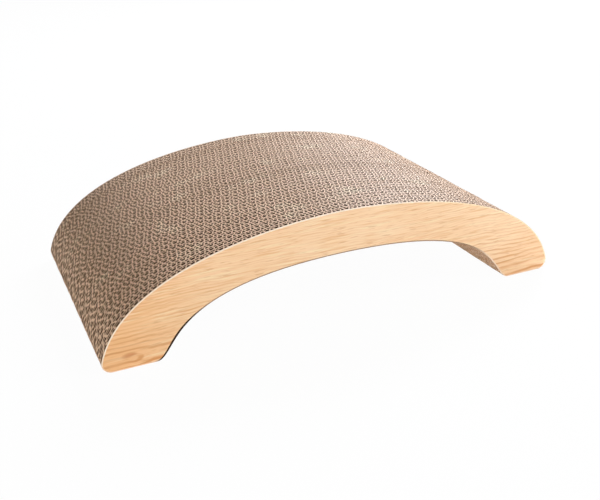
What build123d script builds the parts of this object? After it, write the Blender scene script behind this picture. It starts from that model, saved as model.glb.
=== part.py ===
"""An arched cardboard cat scratcher.

Die-cut arches of double-wall corrugated board stand side by side and are glued face to face.
A wood-grain printed paper covers the front and the back of the block.
X runs along the arch, Y through the stack of sheets and Z up from the floor.
"""

import os

from build123d import *

# Arch as seen from the front, with its length and feet measured on the floor between sharp corners
toe_span = 427.5
foot_width = 47.0
arch_height = 98.2
crown_thickness = 38.1
toe_radius = 8.2
heel_radius = 7.0

# Course of the curve over the top, in shares of half the toe span and of the arch's height
crown_reach_share = 0.215
shoulder_reach_share = 0.944
shoulder_rise_share = 0.883

# Course of the curve underneath, in shares of half the opening's span and of its height
ceiling_reach_share = 0.936
leg_reach_share = 0.89
leg_rise_share = 0.139

# Stack of sheets from front to back, with as many boards as the block has room for
block_depth = 238.5
board_thickness = 6.3
glue_thickness = 0.12
glue_margin = 6.0
paper_thickness = 0.3

# Sizes that follow
opening_span = toe_span - 2 * foot_width
opening_height = arch_height - crown_thickness
sheet_pitch = board_thickness + glue_thickness
sheet_count = int((block_depth - 2 * paper_thickness + glue_thickness) / sheet_pitch)
boards_depth = sheet_count * sheet_pitch - glue_thickness
boards_front = -boards_depth / 2


def front_plane(y):
    """An upright plane across the stack, with X to the right and Z up."""
    return Plane(origin=(0, y, 0), x_dir=(1, 0, 0), z_dir=(0, -1, 0))


def draw_arch(margin):
    """The outline of the arch, drawn in by a margin all round."""
    half_length = toe_span / 2 - margin
    half_opening = opening_span / 2 + margin
    foot = margin
    rise = arch_height - 2 * margin
    with BuildLine() as outline:
        Bezier(
            (0, foot + rise),
            (half_length * crown_reach_share, foot + rise),
            (half_length * shoulder_reach_share, foot + rise * shoulder_rise_share),
            (half_length, foot),
        )
        Line((half_length, foot), (half_opening, foot))
        Bezier(
            (half_opening, foot),
            (half_opening * leg_reach_share, foot + opening_height * leg_rise_share),
            (half_opening * ceiling_reach_share, foot + opening_height),
            (0, foot + opening_height),
        )
        mirror(about=Plane.YZ)
    return outline.line


os.makedirs("parts", exist_ok=True)

# Die-cut shape of every board and of the printed paper, with rounded toes and heels
with BuildSketch() as arch_shape:
    add(draw_arch(0))
    make_face()
    floor_corners = arch_shape.vertices().group_by(Axis.Y)[0].sort_by(Axis.X)
    fillet([floor_corners[0], floor_corners[-1]], radius=toe_radius)
    floor_corners = arch_shape.vertices().group_by(Axis.Y)[0].sort_by(Axis.X)
    fillet(floor_corners[1:-1], radius=heel_radius)

# Shape of a glue film, kept back from the cut edges
with BuildSketch() as film_shape:
    add(draw_arch(glue_margin))
    make_face()

# Printed paper on the front
with BuildPart() as front_oak_paper:
    with BuildSketch(front_plane(boards_front)):
        add(arch_shape.sketch)
    extrude(amount=paper_thickness)
front_oak_paper.part.label = "front_oak_paper"
export_step(front_oak_paper.part, "parts/front_oak_paper.step")

# Boards from front to back, of which the outermost two carry the printed paper
sheet_names = [f"core_sheet_{place:02d}" for place in range(sheet_count)]
sheet_names[0] = "front_outer_board"
sheet_names[-1] = "back_outer_board"
for place, sheet_name in enumerate(sheet_names):
    with BuildPart() as sheet:
        with BuildSketch(front_plane(boards_front + place * sheet_pitch)):
            add(arch_shape.sketch)
        extrude(amount=-board_thickness)
    sheet.part.label = sheet_name
    export_step(sheet.part, f"parts/{sheet_name}.step")

# Printed paper on the back
with BuildPart() as back_oak_paper:
    with BuildSketch(front_plane(boards_front + boards_depth)):
        add(arch_shape.sketch)
    extrude(amount=-paper_thickness)
back_oak_paper.part.label = "back_oak_paper"
export_step(back_oak_paper.part, "parts/back_oak_paper.step")

# Glue films, one in each seam between neighbouring boards
with BuildPart() as glue_films:
    for seam in range(1, sheet_count):
        with BuildSketch(front_plane(boards_front + seam * sheet_pitch)):
            add(film_shape.sketch)
        extrude(amount=glue_thickness)
glue_films.part.label = "glue_films"
export_step(glue_films.part, "parts/glue_films.step")

print("boards in the stack", sheet_count, "and their depth", round(boards_depth, 2))
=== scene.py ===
"""Looks of the arched cardboard cat scratcher.

Every board of the stack is shown as the double-wall corrugated board it is: three flat liners with a
coarse and a fine fluted paper between them. The flutes stand upright, so that their open ends make the
scratching surface. A wood-grain printed paper closes the front and the back.
X runs along the arch, Y through the stack of boards and Z up from the floor.
"""

import math

import bpy
import numpy as np
from mathutils import Matrix, Vector


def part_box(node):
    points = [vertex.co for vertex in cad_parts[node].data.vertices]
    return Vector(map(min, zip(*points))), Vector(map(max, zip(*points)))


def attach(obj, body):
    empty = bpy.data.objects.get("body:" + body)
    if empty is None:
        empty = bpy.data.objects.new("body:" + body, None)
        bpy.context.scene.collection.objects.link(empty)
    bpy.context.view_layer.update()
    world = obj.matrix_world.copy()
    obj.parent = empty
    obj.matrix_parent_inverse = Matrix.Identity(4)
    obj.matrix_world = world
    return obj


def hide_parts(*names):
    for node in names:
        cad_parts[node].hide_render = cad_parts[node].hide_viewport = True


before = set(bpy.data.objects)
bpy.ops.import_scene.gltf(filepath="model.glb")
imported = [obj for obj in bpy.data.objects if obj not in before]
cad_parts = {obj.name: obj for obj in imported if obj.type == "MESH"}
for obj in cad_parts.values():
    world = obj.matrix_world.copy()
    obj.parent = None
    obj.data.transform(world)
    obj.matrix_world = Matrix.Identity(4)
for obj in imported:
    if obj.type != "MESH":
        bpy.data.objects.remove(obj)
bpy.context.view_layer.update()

mm = 0.001

# Plies of one board: three liners, with the coarse flutes in front of the fine ones
liner_thickness = 0.50 * mm
medium_thickness = 0.26 * mm
coarse_share = 0.58
coarse_pitch = 7.85 * mm
fine_pitch = 6.75 * mm
columns_per_flute = 18
flank_steepness = 3.0
crest_bias = 0.25
glued_overlap = 0.02 * mm

# Stagger of the flutes from one board to the next
coarse_stagger = 2.22 * mm
fine_stagger = 0.82 * mm
stagger_slip = 0.42 * mm

# Cut edges, which the die spread into burrs, and more so on the slope of one foot
liner_burr = 0.08 * mm
crest_burr = 0.22 * mm
coarse_burr = 1.15 * mm
fine_burr = 0.85 * mm
burr_depth = 1.5 * mm
coarse_spread = 1.3
fine_spread = 1.15
spread_start = -30.0 * mm
spread_end = -150.0 * mm

# Unevenness of cutting and gluing by hand
cut_shift = 0.09 * mm
cut_fray = 0.08 * mm
fray_outward = 0.3
crest_lean = 0.10 * mm
crest_crush = 0.12
flute_wander = 0.30 * mm
pitch_slack = 0.004

# Printed paper, its rim wider in one place under the arch, where it carries the darkest painted shade
paper_rim = 1.0 * mm
paper_bevel = 0.2 * mm
rim_shade_widening = 0.9 * mm
rim_shade_along = -150.0 * mm
rim_shade_reach = 15.0 * mm

# Growth lines of the print, and the knot in one foot that they close around
line_spacing = 6.2 * mm
line_crowding = 16.0
first_line_phase = -1.2
line_sway = 11.0 * mm
line_ripple = 4.0 * mm
faint_line_height = 70.0 * mm
knot_along = -190.0 * mm
knot_height = 8.5 * mm
knot_length = 20.0 * mm
knot_bend = 6.0 * mm
heart_above = 3.5 * mm
heart_length = 6.0 * mm
heart_height = 1.9 * mm

# Stretches along the arch in which the print or the paper's rim changes its tone
foot_tan = (-210.0 * mm, -100.0 * mm)
rim_pale_heel = (-172.0 * mm, -164.0 * mm)
# Stretch in which the rim's painted shade fades from near black to grey-brown
rim_shaded_leg = (-142.0 * mm, -118.0 * mm)
rim_warm_top = (20.0 * mm, 120.0 * mm)
rim_pale_leg = (120.0 * mm, 150.0 * mm)

# Outline
outline_step = 2.2 * mm
midline_share = 0.8
least_flute_height = 0.1 * mm

# Seeds of the random draws
stack_seed = 7
first_board_seed = 1000

# Number kept at each point: at an upper cut edge, inside a cell below it, or at the lower end of a ply.
# It places the painted shade inside the cells and under the paper's rim, and the painted light at the
# lower cut edges
inside_name = "inside"
CUT_EDGE, IN_CELL, LOWER_END = 0.0, 1.0, -1.0


def srgb(red, green, blue):
    """A colour written as it looks on screen, from 0 to 255, as the linear colour of a shader."""
    shares = [level / 255 for level in (red, green, blue)]
    linear = [s / 12.92 if s <= 0.04045 else ((s + 0.055) / 1.055) ** 2.4 for s in shares]
    return (*linear, 1.0)


class Wiring:
    """The nodes of one material, made and linked one after the other."""

    def __init__(self, name):
        self.material = bpy.data.materials.new(name)
        self.material.use_nodes = True
        self.tree = self.material.node_tree
        self.surface = self.tree.nodes["Principled BSDF"]

    def feed(self, socket, value):
        """Links a socket to the value's own socket, or sets it to a constant."""
        if isinstance(value, bpy.types.NodeSocket):
            self.tree.links.new(value, socket)
        else:
            socket.default_value = value

    def feed_all(self, made, *values):
        """Feeds a node's sockets from the first one on, and returns the node."""
        for socket, value in zip(made.inputs, values):
            self.feed(socket, value)
        return made

    def node(self, kind, **settings):
        made = self.tree.nodes.new("ShaderNode" + kind)
        for name, value in settings.items():
            setattr(made, name, value)
        return made

    def place(self):
        """Where a point is on the object, in metres."""
        return self.node("TexCoord").outputs["Object"]

    def by_object(self):
        """A number from 0 to 1 that differs from piece to piece."""
        return self.node("ObjectInfo").outputs["Random"]

    def axes(self, vector):
        return self.feed_all(self.node("SeparateXYZ"), vector).outputs

    def maths(self, operation, *values):
        return self.feed_all(self.node("Math", operation=operation), *values).outputs[0]

    def vector_maths(self, operation, *values):
        return self.feed_all(self.node("VectorMath", operation=operation), *values).outputs[0]

    def noise(self, vector, per_metre, detail=3.0):
        """Noise with so many blots to the metre along each axis."""
        made = self.node("TexNoise")
        self.feed(made.inputs["Vector"], self.vector_maths("MULTIPLY", vector, per_metre))
        made.inputs["Scale"].default_value = 1.0
        made.inputs["Detail"].default_value = detail
        return made.outputs["Fac"]

    def step(self, value, low, high, to_low=0.0, to_high=1.0):
        """A smooth rise from one level to another."""
        made = self.node("MapRange", interpolation_type="SMOOTHSTEP")
        return self.feed_all(made, value, low, high, to_low, to_high).outputs[0]

    def mix(self, share, first, second):
        """A colour between two others."""
        made = self.node("Mix", data_type="RGBA")
        self.feed(made.inputs[0], share)
        self.feed(made.inputs[6], first)
        self.feed(made.inputs[7], second)
        return made.outputs[2]

    def bump(self, height, distance, strength):
        made = self.node("Bump")
        made.inputs["Strength"].default_value = strength
        made.inputs["Distance"].default_value = distance
        self.feed(made.inputs["Height"], height)
        self.feed(self.surface.inputs["Normal"], made.outputs["Normal"])

    def finish(self, colour, roughness, specular):
        self.feed(self.surface.inputs["Base Color"], colour)
        self.feed(self.surface.inputs["Roughness"], roughness)
        self.surface.inputs["Specular IOR Level"].default_value = specular
        return self.material


def kraft_walls():
    """Brown paper of flutes and liners, with painted shade that makes it near black inside the cells, and
    fibres along the flutes.
    """
    paint = Wiring("kraft_walls")
    place = paint.place()
    fibres = paint.noise(place, (900.0, 900.0, 140.0), 4.0)
    clouds = paint.noise(place, (45.0, 45.0, 30.0))
    inside = paint.node("Attribute", attribute_name=inside_name).outputs["Fac"]
    paper = paint.mix(paint.by_object(), srgb(206, 170, 142), srgb(214, 180, 152))
    # Painted shade: the walls turn near black inside the cells, just below the cut edges, in place of the
    # shade in the flutes
    painted_cell_shade = paint.mix(paint.step(clouds, 0.3, 0.7), srgb(40, 15, 2), srgb(32, 11, 1))
    paper = paint.mix(paint.step(inside, -0.8, -0.2), srgb(206, 167, 134), paper)
    tone = paint.mix(paint.step(inside, 0.0, 0.2), paper, painted_cell_shade)
    tone = paint.mix(paint.step(fibres, 0.45, 0.75, 0.0, 0.05), tone, srgb(160, 120, 86))
    paint.bump(fibres, 0.08 * mm, 0.5)
    return paint.finish(tone, paint.step(fibres, 0.2, 0.8, 0.8, 0.95), 0.0)


def cut_edges(name, first, second):
    """The paler, fuzzy edge of the papers where the die cut them, with painted light that makes it paler
    still at the lower ends.
    """
    paint = Wiring(name)
    place = paint.place()
    fuzz = paint.noise(place, (1300.0, 1300.0, 1300.0), 4.0)
    # Pale blotches at random over the cut edges
    pale_blotches = paint.noise(place, (34.0, 44.0, 34.0), 2.0)
    inside = paint.node("Attribute", attribute_name=inside_name).outputs["Fac"]
    tone = paint.mix(paint.by_object(), first, second)
    # Painted light: the lower cut edges are paler, in place of the light that reaches the underside
    tone = paint.mix(paint.step(inside, -0.8, -0.2), srgb(238, 206, 178), tone)
    tone = paint.mix(paint.step(fuzz, 0.35, 0.7, 0.0, 0.3), tone, srgb(198, 156, 122))
    tone = paint.mix(paint.step(pale_blotches, 0.58, 0.72, 0.0, 0.7), tone, srgb(255, 230, 196))
    paint.bump(fuzz, 0.06 * mm, 0.4)
    paint.surface.inputs["Sheen Weight"].default_value = 0.15
    paint.surface.inputs["Sheen Roughness"].default_value = 0.45
    return paint.finish(tone, paint.step(fuzz, 0.2, 0.8, 0.5, 0.65), 0.3)


def oak_print():
    """Pale oak printed on paper: growth lines that close around a small knot, fibres and short pores."""
    paint = Wiring("oak_print")
    offset = paint.node("CombineXYZ")
    paint.feed(offset.inputs["Y"], paint.by_object())
    place = paint.vector_maths("ADD", paint.place(), offset.outputs[0])
    along, _, up = paint.axes(place)

    # Growth lines, straight along the arch and wide apart around the knot in one foot
    sway = paint.maths("SUBTRACT", paint.noise(place, (10.0, 1.0, 16.0), 1.0), 0.5)
    ripple = paint.maths("SUBTRACT", paint.noise(place, (55.0, 1.0, 90.0), 1.0), 0.5)
    height = paint.maths("SUBTRACT", up, knot_height)
    height = paint.maths("MULTIPLY_ADD", sway, line_sway, height)
    height = paint.maths("MULTIPLY_ADD", ripple, line_ripple, height)
    bend = paint.step(along, knot_along, knot_along + knot_length, 0.0, knot_bend)
    squares = paint.maths("MULTIPLY_ADD", bend, bend, paint.maths("MULTIPLY", height, height))
    level = paint.maths("SQRT", squares)
    squeeze = paint.maths("MULTIPLY_ADD", level, line_crowding, 1.0)
    turns = paint.maths("MULTIPLY", paint.maths("MULTIPLY", level, squeeze), 1 / line_spacing)
    wave = paint.maths("SINE", paint.maths("MULTIPLY_ADD", turns, math.tau, first_line_phase))
    lines = paint.step(wave, -0.1, 1.0)
    breaks = paint.noise(place, (16.0, 1.0, 170.0), 2.0)
    lines = paint.maths("MULTIPLY", lines, paint.step(breaks, 0.32, 0.62, 0.15, 1.0))
    lines = paint.maths("MULTIPLY", lines, paint.step(up, 0.0, faint_line_height, 0.8, 0.22))

    # Fibres, pores and pale streaks
    fibres = paint.noise(place, (34.0, 1.0, 560.0), 3.0)
    pores = paint.noise(place, (70.0, 1.0, 950.0), 2.0)
    gleam = paint.noise(place, (22.0, 1.0, 420.0), 2.0)
    clouds = paint.noise(place, (9.0, 1.0, 22.0), 2.0)

    # Heart of the knot
    heart_along = paint.maths("MULTIPLY", paint.maths("SUBTRACT", along, knot_along), 1 / heart_length)
    heart_up = paint.maths("MULTIPLY", paint.maths("SUBTRACT", height, heart_above), 1 / heart_height)
    heart_along = paint.maths("MULTIPLY", heart_along, heart_along)
    heart = paint.step(paint.maths("MULTIPLY_ADD", heart_up, heart_up, heart_along), 0.0, 1.6, 0.6, 0.0)

    tone = paint.mix(paint.step(clouds, 0.3, 0.7), srgb(254, 220, 182), srgb(250, 211, 170))
    tone = paint.mix(paint.step(along, *foot_tan, 0.75, 0.0), tone, srgb(244, 190, 134))
    tone = paint.mix(paint.step(gleam, 0.5, 0.68, 0.0, 0.5), tone, srgb(255, 235, 198))
    tone = paint.mix(paint.step(fibres, 0.46, 0.68, 0.0, 0.6), tone, srgb(236, 186, 134))
    tone = paint.mix(lines, tone, srgb(214, 146, 88))
    tone = paint.mix(heart, tone, srgb(206, 128, 80))
    tone = paint.mix(paint.step(pores, 0.58, 0.7, 0.0, 0.55), tone, srgb(214, 160, 110))

    paint.bump(fibres, 0.02 * mm, 0.3)
    return paint.finish(tone, paint.step(fibres, 0.2, 0.8, 0.48, 0.6), 0.35)


def paper_edges():
    """The paper's bare rim: cream over the top, with painted shade underneath, brown and darkest under
    the left leg, and pale again at the feet.
    """
    paint = Wiring("paper_edges")
    place = paint.place()
    along = paint.axes(place)[0]
    below = paint.node("Attribute", attribute_name=inside_name).outputs["Fac"]
    fuzz = paint.noise(place, (600.0, 600.0, 600.0), 4.0)
    cream = paint.mix(paint.step(fuzz, 0.35, 0.7, 0.0, 0.6), srgb(255, 240, 224), srgb(246, 220, 196))
    cream = paint.mix(paint.step(along, *rim_warm_top), cream, srgb(255, 228, 190))
    # Painted shade on the rim underneath: near black under the left leg, grey-brown along the crown
    brown = paint.mix(paint.step(along, *rim_shaded_leg), srgb(52, 32, 18), srgb(166, 136, 112))
    underneath = paint.mix(paint.step(along, *rim_pale_leg), brown, srgb(250, 224, 202))
    underneath = paint.mix(paint.step(along, *rim_pale_heel), srgb(250, 214, 184), underneath)
    paint.bump(fuzz, 0.05 * mm, 0.4)
    return paint.finish(paint.mix(below, cream, underneath), 0.8, 0.2)


def dried_glue():
    """Milky dried starch glue with brush marks."""
    paint = Wiring("dried_glue")
    place = paint.place()
    marks = paint.noise(place, (160.0, 160.0, 24.0), 4.0)
    tone = paint.mix(paint.step(marks, 0.35, 0.65), srgb(214, 196, 168), srgb(236, 224, 202))
    paint.bump(marks, 0.05 * mm, 0.5)
    return paint.finish(tone, paint.step(marks, 0.3, 0.7, 0.35, 0.6), 0.4)


def read_arch(board):
    """The arch's upper and lower edge as points along X, read from a board of the frame."""
    points = np.array([(v.co.x, v.co.z) for v in board.data.vertices]).round(6)
    points = np.unique(points, axis=0)
    reach, tip_height = points[points[:, 0].argmax()]
    crown_height = midline_share * points[:, 1].max()
    midline = tip_height + (crown_height - tip_height) * (1 - (points[:, 0] / reach) ** 2)
    slack = 0.01 * mm
    upper = points[points[:, 1] >= midline - slack]
    lower = points[points[:, 1] <= midline + slack]
    return upper, lower


def finer(points, step):
    """The same line with extra points, no further apart than a step."""
    line = [points[0]]
    for start, end in zip(points[:-1], points[1:]):
        pieces = max(1, math.ceil(math.dist(start, end) / step))
        for piece in range(1, pieces + 1):
            line.append(start + (end - start) * piece / pieces)
    return np.array(line)


upper_edge, lower_edge = read_arch(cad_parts["front_outer_board"])
upper_line = finer(upper_edge, outline_step)
lower_line = finer(lower_edge[::-1], outline_step)
reach = upper_edge[-1, 0]


def smooth_noise(rng, places, spacing):
    """Random values from -1 to 1 that change smoothly along places."""
    stops = np.arange(places.min() - spacing, places.max() + 2 * spacing, spacing)
    return np.interp(places, stops, rng.uniform(-1, 1, len(stops)))


class MeshParts:
    """Points and faces of one piece, gathered part by part."""

    def __init__(self):
        self.points = []
        self.insides = []
        self.faces = []
        self.slots = []
        self.count = 0

    def add_points(self, points, inside=CUT_EDGE):
        """Adds points with their inside number, and returns the place of the first one."""
        first = self.count
        self.points.append(np.asarray(points, float).reshape(-1, 3))
        self.count += len(self.points[-1])
        self.insides.append(np.zeros(self.count - first) + inside)
        return first

    def add_faces(self, faces, slot):
        faces = [list(face) for face in faces]
        self.faces += faces
        self.slots += [slot] * len(faces)

    def piece(self, name, materials):
        mesh = bpy.data.meshes.new(name)
        mesh.from_pydata(np.concatenate(self.points).tolist(), [], self.faces)
        for material in materials:
            mesh.materials.append(material)
        mesh.polygons.foreach_set("material_index", self.slots)
        insides = mesh.attributes.new(inside_name, "FLOAT", "POINT")
        insides.data.foreach_set("value", np.concatenate(self.insides))
        mesh.update()
        made = bpy.data.objects.new(name, mesh)
        bpy.context.scene.collection.objects.link(made)
        return made


def loop_quads(first, second, count):
    """Quads between two closed rings of points."""
    return [
        (first + i, first + (i + 1) % count, second + (i + 1) % count, second + i)
        for i in range(count)
    ]


# Material slots of a board and of a printed paper
WALL, LINER_EDGE, FLUTE_EDGE = 0, 1, 2
PRINT, RIM = 0, 1


def inward_of(ring):
    """The direction into the outline at each point of a ring that runs clockwise."""
    heading = np.roll(ring, -1, axis=0) - np.roll(ring, 1, axis=0)
    heading /= np.linalg.norm(heading, axis=1)[:, None]
    return np.column_stack([heading[:, 1], -heading[:, 0]])


def upright(ring, y):
    """Points of a flat ring, stood up at a place along Y."""
    return np.column_stack([ring[:, 0], np.full(len(ring), y), ring[:, 1]])


def add_liner(parts, rng, front, back, front_burr, back_burr, shift):
    """One flat paper of a board, cut to the arch's outline, its cut edge frayed and spread."""
    upper = upper_line.copy()
    upper[1:-1, 1] += cut_fray * rng.uniform(-1, fray_outward, len(upper) - 2)
    ring = np.concatenate([upper[:-1], lower_line[:-1]]) + shift
    ring[:, 1] = ring[:, 1].clip(0)
    inner = ring + burr_depth * inward_of(ring)
    count = len(ring)
    is_lower = np.arange(count) >= len(upper) - 1
    edge = np.where(is_lower, LOWER_END, CUT_EDGE)
    inside = np.where(is_lower, LOWER_END, IN_CELL)
    front_inner = parts.add_points(upright(inner, front), inside)
    front_ring = parts.add_points(upright(ring, front - front_burr), edge)
    back_ring = parts.add_points(upright(ring, back + back_burr), edge)
    back_inner = parts.add_points(upright(inner, back), inside)
    parts.add_faces([range(front_inner + count - 1, front_inner - 1, -1)], WALL)
    parts.add_faces(loop_quads(front_inner, front_ring, count), WALL)
    parts.add_faces(loop_quads(front_ring, back_ring, count), LINER_EDGE)
    parts.add_faces(loop_quads(back_ring, back_inner, count), WALL)
    parts.add_faces([range(back_inner, back_inner + count)], WALL)


def add_flutes(parts, rng, front, back, pitch, start, burr, spread, shift):
    """One fluted paper, a wavy ribbon that stands upright between two liners, its cut edge spread."""
    pitch = pitch * rng.uniform(1 - pitch_slack, 1 + pitch_slack)
    columns = int(2 * reach / pitch * columns_per_flute)
    along = np.linspace(-reach, reach, columns + 1)
    wander = flute_wander * smooth_noise(rng, along, 3 * pitch)
    swing = np.sin(math.tau * (along + wander - start) / pitch)
    swing = np.tanh(flank_steepness * (swing - crest_bias)) / math.tanh(flank_steepness)
    half_height = (back - front - medium_thickness) / 2 + glued_overlap
    middle = (front + back) / 2
    across = middle + half_height * swing

    slope = np.gradient(across, along)
    normal = np.column_stack([-slope, np.ones(columns + 1)])
    normal /= np.linalg.norm(normal, axis=1)[:, None]
    steepness = np.abs(slope) / np.abs(slope).max()
    flank_burr = burr * np.interp(along, (spread_end, spread_start), (spread, 1.0))
    burr_thickness = crest_burr + (flank_burr - crest_burr) * steepness
    lean = crest_lean * smooth_noise(rng, along, pitch)
    sideways = crest_lean * smooth_noise(rng, along, 2 * pitch)
    crush = 1 - crest_crush * np.abs(smooth_noise(rng, along, 2 * pitch))
    fray = cut_fray * rng.uniform(-1, fray_outward, columns + 1)

    sides = []
    for side in (-0.5, 0.5):
        x = (along + side * medium_thickness * normal[:, 0]).clip(-reach, reach)
        y = across + side * medium_thickness * normal[:, 1]
        burr_x = (along + sideways + side * burr_thickness * normal[:, 0]).clip(-reach, reach)
        burr_y = middle + (across - middle) * crush + lean + side * burr_thickness * normal[:, 1]
        burr_y = burr_y.clip(front, back)
        bottom = (np.interp(burr_x, lower_edge[:, 0], lower_edge[:, 1]) + shift[1]).clip(0)
        top = np.interp(burr_x, upper_edge[:, 0], upper_edge[:, 1]) + shift[1] + fray
        top = np.maximum(top, bottom + least_flute_height)
        half_way = (bottom + top) / 2
        low_neck = np.minimum(bottom + burr_depth, half_way)
        high_neck = np.maximum(top - burr_depth, half_way)
        burr_x = burr_x + shift[0]
        x = x + shift[0]
        rows = [
            parts.add_points(np.column_stack([burr_x, burr_y, bottom]), LOWER_END),
            parts.add_points(np.column_stack([x, y, low_neck]), LOWER_END),
            parts.add_points(np.column_stack([x, y, high_neck]), IN_CELL),
            parts.add_points(np.column_stack([burr_x, burr_y, top]), CUT_EDGE),
        ]
        sides.append(rows)

    def strip(low, high):
        return [(low + i, low + i + 1, high + i + 1, high + i) for i in range(columns)]

    near, far = sides
    for low, high in zip(near[:-1], near[1:]):
        parts.add_faces(strip(low, high), WALL)
    for low, high in zip(far[:-1], far[1:]):
        parts.add_faces(strip(high, low), WALL)
    parts.add_faces(strip(near[-1], far[-1]), FLUTE_EDGE)
    parts.add_faces(strip(far[0], near[0]), FLUTE_EDGE)
    for end, flip in ((0, 1), (columns, -1)):
        ends = [corner + end for corner in near + far[::-1]]
        parts.add_faces([ends[::flip]], FLUTE_EDGE)


def make_board(node, number, coarse_start, fine_start, materials):
    """One double-wall board, its plies in the space that the frame gives it."""
    rng = np.random.default_rng(first_board_seed + number)
    low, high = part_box(node)
    is_outer = node.endswith("outer_board")
    shift = np.zeros(2) if is_outer else rng.normal(0, cut_shift, 2)
    room = high.y - low.y - 3 * liner_thickness
    coarse_front = low.y + liner_thickness
    coarse_back = coarse_front + coarse_share * room
    fine_front = coarse_back + liner_thickness
    fine_back = high.y - liner_thickness

    parts = MeshParts()
    burrs = ((0, liner_burr), (liner_burr / 2, liner_burr / 2), (liner_burr, 0))
    for front, (front_burr, back_burr) in zip((low.y, coarse_back, fine_back), burrs):
        add_liner(parts, rng, front, front + liner_thickness, front_burr, back_burr, shift)
    coarse = (coarse_front, coarse_back, coarse_pitch, coarse_start, coarse_burr, coarse_spread)
    fine = (fine_front, fine_back, fine_pitch, fine_start, fine_burr, fine_spread)
    add_flutes(parts, rng, *coarse, shift)
    add_flutes(parts, rng, *fine, shift)
    piece = parts.piece(f"{node}_fluted", materials)
    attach(piece, "root")
    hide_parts(node)


def make_paper(node, outward, materials):
    """A printed paper with a narrow bevelled rim where the print ends, told apart above and below."""
    low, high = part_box(node)
    face, back = (low.y, high.y) if outward < 0 else (high.y, low.y)
    ring = np.concatenate([upper_line[:-1], lower_line[:-1]])
    count = len(ring)
    below = np.arange(count) >= len(upper_line) - 1
    # The rim is wider under the left leg, to carry the dark painted shade there
    widening_for_shade = rim_shade_widening * np.exp(-(((ring[:, 0] - rim_shade_along) / rim_shade_reach) ** 2)) * below
    inset = ring + (paper_rim + widening_for_shade)[:, None] * inward_of(ring)

    parts = MeshParts()
    bevel = face - outward * paper_bevel
    lines = ((inset, face), (ring, bevel), (ring, back))
    rings = [parts.add_points(upright(line, y), below) for line, y in lines]
    print_ring, rim_ring, back_ring = rings
    turn = 1 if outward > 0 else -1
    parts.add_faces([list(range(print_ring, print_ring + count))[::turn]], PRINT)
    parts.add_faces([quad[::turn] for quad in loop_quads(rim_ring, print_ring, count)], RIM)
    parts.add_faces([quad[::turn] for quad in loop_quads(back_ring, rim_ring, count)], RIM)
    parts.add_faces([list(range(back_ring, back_ring + count))[::-turn]], RIM)
    piece = parts.piece(f"{node}_printed", materials)
    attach(piece, "root")
    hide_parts(node)


# Boards from front to back
board_materials = [
    kraft_walls(),
    cut_edges("liner_edges", srgb(226, 190, 160), srgb(234, 198, 168)),
    cut_edges("flute_edges", srgb(232, 197, 166), srgb(240, 206, 176)),
]
boards = [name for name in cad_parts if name.startswith("core_sheet") or name.endswith("board")]
boards.sort(key=lambda name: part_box(name)[0].y)
stack_rng = np.random.default_rng(stack_seed)
coarse_starts = np.cumsum(stack_rng.normal(coarse_stagger, stagger_slip, len(boards)))
fine_starts = np.cumsum(stack_rng.normal(fine_stagger, stagger_slip, len(boards)))
for number, node in enumerate(boards):
    make_board(node, number, coarse_starts[number], fine_starts[number], board_materials)

# Printed papers
paper_materials = [oak_print(), paper_edges()]
make_paper("front_oak_paper", -1, paper_materials)
make_paper("back_oak_paper", 1, paper_materials)

# Glue between the boards
glue_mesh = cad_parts["glue_films"].data
glue_mesh.materials.clear()
glue_mesh.materials.append(dried_glue())


def white_rays(tree):
    """1 for rays that show the surroundings, seen or mirrored, and 0 for those that light the object."""
    path = tree.nodes.new("ShaderNodeLightPath")
    share = path.outputs["Is Camera Ray"]
    for kind in ("Is Glossy Ray", "Is Transmission Ray"):
        either = tree.nodes.new("ShaderNodeMath")
        either.operation = "MAXIMUM"
        tree.links.new(share, either.inputs[0])
        tree.links.new(path.outputs[kind], either.inputs[1])
        share = either.outputs[0]
    return share


def pale_floor(name, shade, white_share):
    """A pale floor that looks nearly white, with the object's shadow left on it."""
    paint = Wiring(name)
    paint.tree.nodes.remove(paint.surface)
    matt = paint.node("BsdfDiffuse")
    matt.inputs["Color"].default_value = shade
    white = paint.node("Emission")
    share = paint.maths("MULTIPLY", white_rays(paint.tree), white_share)
    mixed = paint.node("MixShader")
    paint.feed(mixed.inputs[0], share)
    paint.feed(mixed.inputs[1], matt.outputs[0])
    paint.feed(mixed.inputs[2], white.outputs[0])
    output = next(n for n in paint.tree.nodes if n.type == "OUTPUT_MATERIAL")
    paint.feed(output.inputs["Surface"], mixed.outputs[0])
    return paint.material


# Floor
floor_half = 4.0
floor_shade = srgb(240, 240, 240)
floor_white_share = 0.975
floor_parts = MeshParts()
floor_corners = [(-1, -1, 0), (1, -1, 0), (1, 1, 0), (-1, 1, 0)]
floor_first = floor_parts.add_points(np.array(floor_corners) * floor_half)
floor_parts.add_faces([range(floor_first, floor_first + 4)], 0)
floor = floor_parts.piece("floor", [pale_floor("floor_white", floor_shade, floor_white_share)])

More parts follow.
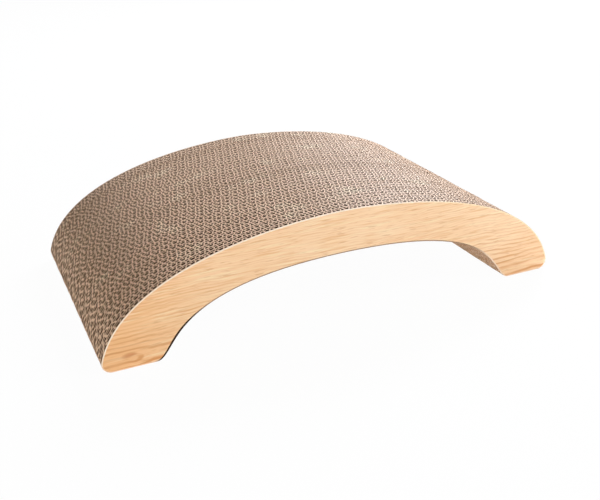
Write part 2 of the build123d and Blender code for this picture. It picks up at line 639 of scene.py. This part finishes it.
# Surroundings, white to look at and dim as a light
ambient_level = 0.02
world = bpy.data.worlds.new("surroundings")
bpy.context.scene.world = world
world.use_nodes = True
background = world.node_tree.nodes["Background"]
strength = world.node_tree.nodes.new("ShaderNodeMapRange")
world.node_tree.links.new(white_rays(world.node_tree), strength.inputs["Value"])
strength.inputs["To Min"].default_value = ambient_level
strength.inputs["To Max"].default_value = 1.0
background.inputs["Color"].default_value = (1, 1, 1, 1)
world.node_tree.links.new(strength.outputs[0], background.inputs["Strength"])

# Lamps
lamp_target = Vector((0, 0, 50.0)) * mm


def add_lamp(name, place, size, power, colour):
    """A square soft lamp that faces the object."""
    data = bpy.data.lights.new(name, "AREA")
    data.size = size
    data.energy = power
    data.color = colour
    lamp = bpy.data.objects.new(name, data)
    lamp.location = place
    lamp.rotation_euler = (lamp_target - Vector(place)).to_track_quat("-Z", "Y").to_euler()
    bpy.context.scene.collection.objects.link(lamp)


add_lamp("key_lamp", place=(1.3, 1.2, 1.2), size=0.8, power=67.0, colour=(0.97, 1.0, 1.06))
add_lamp("side_lamp", place=(1.2, -0.8, 0.75), size=0.7, power=13.5, colour=(1.0, 1.0, 1.0))
add_lamp("low_lamp", place=(-1.4, -1.3, 0.15), size=0.5, power=25.0, colour=(1.0, 0.95, 0.85))

# Camera in front of the arch, to the left and above
camera_azimuth = math.radians(-23.72)
camera_elevation = math.radians(24.442)
camera_roll = math.radians(-1.401)
camera_distance = 0.82154
camera_target = Vector((9.026, 0, 11.791)) * mm
camera_lens = 50.315
camera_sensor = 36
camera_nearest = 10.0 * mm
back = Vector(
    (
        math.sin(camera_azimuth) * math.cos(camera_elevation),
        -math.cos(camera_azimuth) * math.cos(camera_elevation),
        math.sin(camera_elevation),
    )
)
right = Vector((0, 0, 1)).cross(back).normalized()
right = Matrix.Rotation(camera_roll, 3, back) @ right
up = back.cross(right)
camera_data = bpy.data.cameras.new("camera")
camera_data.lens = camera_lens
camera_data.sensor_width = camera_sensor
camera_data.clip_start = camera_nearest
camera = bpy.data.objects.new("camera", camera_data)
bpy.context.scene.collection.objects.link(camera)
camera_turn = Matrix((right, up, back)).transposed().to_4x4()
camera.matrix_world = Matrix.Translation(camera_target + back * camera_distance) @ camera_turn
bpy.context.scene.camera = camera
bpy.context.scene.view_settings.view_transform = "Standard"
